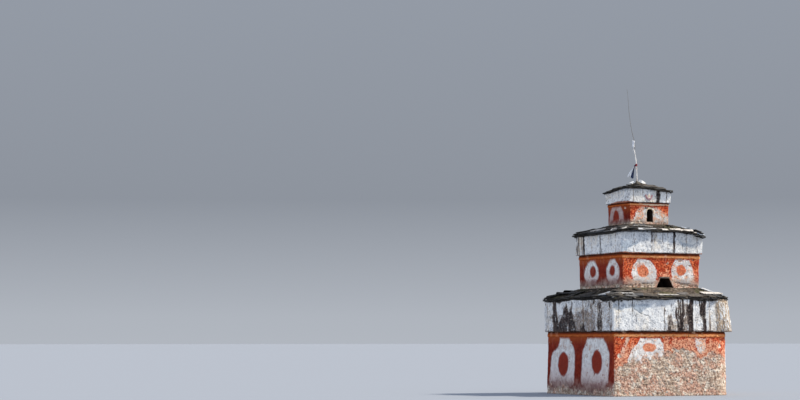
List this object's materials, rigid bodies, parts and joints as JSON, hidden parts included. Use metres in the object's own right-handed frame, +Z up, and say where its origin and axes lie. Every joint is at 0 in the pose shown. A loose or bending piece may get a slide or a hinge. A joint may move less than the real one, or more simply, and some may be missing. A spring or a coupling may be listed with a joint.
{
  "type": "village stupa",
  "caption": "Square three-tier masonry stupa with painted walls, whitewashed friezes, slate eaves, earth roofs, small niches and a leaning pole on top.",
  "frame": {"origin": "on the ground at the middle of the base", "axes": "+Z up; -Y is the front, the side with both niches; +X is to the right when facing the front"},
  "size_m": [3.88, 3.88, 8.2],
  "materials": {
    "red_plaster": "matt mineral paint on rough plaster, chalky and worn",
    "ochre_plaster": "matt ochre paint on rough plaster",
    "whitewash": "limewash on rough plaster with dark rain streaks",
    "slate": "split grey-brown slate, rough edges",
    "roof_earth": "packed earth and gravel",
    "limewashed_stone": "fieldstone splashed with limewash",
    "weathered_wood": "peeled and weathered, grey-white",
    "scarf_cloth": "thin white scarf cloth, creased"
  },
  "bodies": {
    "root": {"base_frieze": "whitewash", "base_hip_slate_back_left": "slate", "base_hip_slate_back_right": "slate", "base_hip_slate_front_left": "slate", "base_hip_slate_front_right": "slate", "base_roof": "roof_earth", "base_slates_back": "slate", "base_slates_front": "slate", "base_slates_left": "slate", "base_slates_right": "slate", "base_string_course": "ochre_plaster", "base_wall": "red_plaster", "middle_frieze": "whitewash", "middle_hip_slate_back_left": "slate", "middle_hip_slate_back_right": "slate", "middle_hip_slate_front_left": "slate", "middle_hip_slate_front_right": "slate", "middle_niche_lintel": "slate", "middle_roof": "roof_earth", "middle_slates_back": "slate", "middle_slates_front": "slate", "middle_slates_left": "slate", "middle_slates_right": "slate", "middle_string_course": "ochre_plaster", "middle_wall": "red_plaster", "pennant": "scarf_cloth", "pennant_tie": "scarf_cloth", "pole": "weathered_wood", "top_frieze": "whitewash", "top_niche_lintel": "slate", "top_roof": "roof_earth", "top_slates_back": "slate", "top_slates_front": "slate", "top_slates_left": "slate", "top_slates_right": "slate", "top_string_course": "ochre_plaster", "top_wall": "red_plaster", "wand": "weathered_wood", "wand_binding": "scarf_cloth", "wedge_stone_back": "slate", "wedge_stone_front": "slate", "wedge_stone_left": "limewashed_stone", "wedge_stone_right": "limewashed_stone"}
  },
  "joints": []
}
